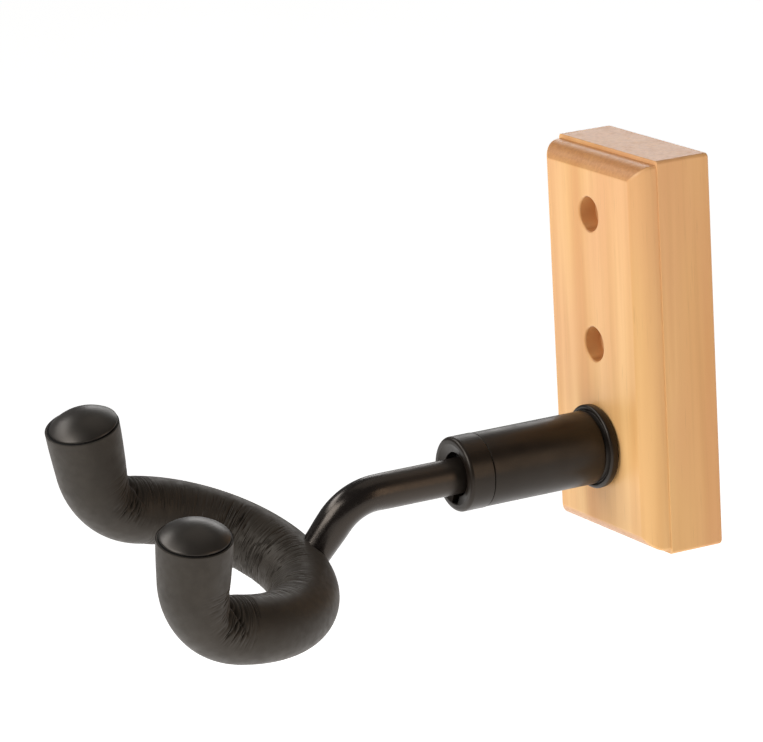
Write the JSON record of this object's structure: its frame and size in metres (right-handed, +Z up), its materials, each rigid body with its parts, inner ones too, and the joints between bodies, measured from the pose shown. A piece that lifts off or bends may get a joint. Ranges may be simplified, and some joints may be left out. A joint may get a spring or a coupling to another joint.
{
  "type": "wall guitar hanger",
  "caption": "Wall hanger for a guitar: hardwood block, black swivel housing, bent steel arm and a foam-covered yoke with domed tip caps.",
  "frame": {"origin": "on the wall plane at the block's back face, midway between the two screw holes", "axes": "+Y into the wall, -Y out from the wall along the arm, +Z up, +X to the right seen from the front"},
  "size_m": [0.0872, 0.1828, 0.1207],
  "materials": {
    "hardwood": "pale maple under a clear satin lacquer",
    "housing_black": "satin brown-black moulding",
    "rod_black": "black enamel on steel rod, glossier on the bend",
    "foam_black": "charcoal skinned foam with fine creases",
    "cap_black": "satin charcoal moulding",
    "zinc_steel": "zinc plated",
    "spring_steel": "plain hardened steel",
    "nylon_black": "black nylon"
  },
  "bodies": {
    "wall_body": {"back_block": "hardwood", "tie_bolt": "zinc_steel", "tie_bolt_washer": "zinc_steel", "wall_flange": "housing_black", "swivel_sleeve": "housing_black", "sleeve_plug": "zinc_steel", "sleeve_end_cap": "housing_black", "rear_bushing": "nylon_black", "disc_spring": "spring_steel", "friction_washer": "nylon_black", "front_bushing": "nylon_black"},
    "swivel_body": {"retaining_ring": "spring_steel", "arm_collar": "zinc_steel", "collar_pin": "spring_steel", "stop_pin": "spring_steel", "arm_rod": "rod_black", "weld_fillet": "rod_black", "yoke_rod": "rod_black", "foam_tube_left": "foam_black", "foam_tube_right": "foam_black", "tip_cap_left": "cap_black", "tip_cap_right": "cap_black"}
  },
  "joints": [
    {"name": "yoke_swivel", "type": "hinge", "parent": "wall_body", "child": "swivel_body", "pos_m": [0, -0.07, -0.0493], "axis": [0, -1, 0], "range_deg": [-26.25, 63.75]}
  ]
}
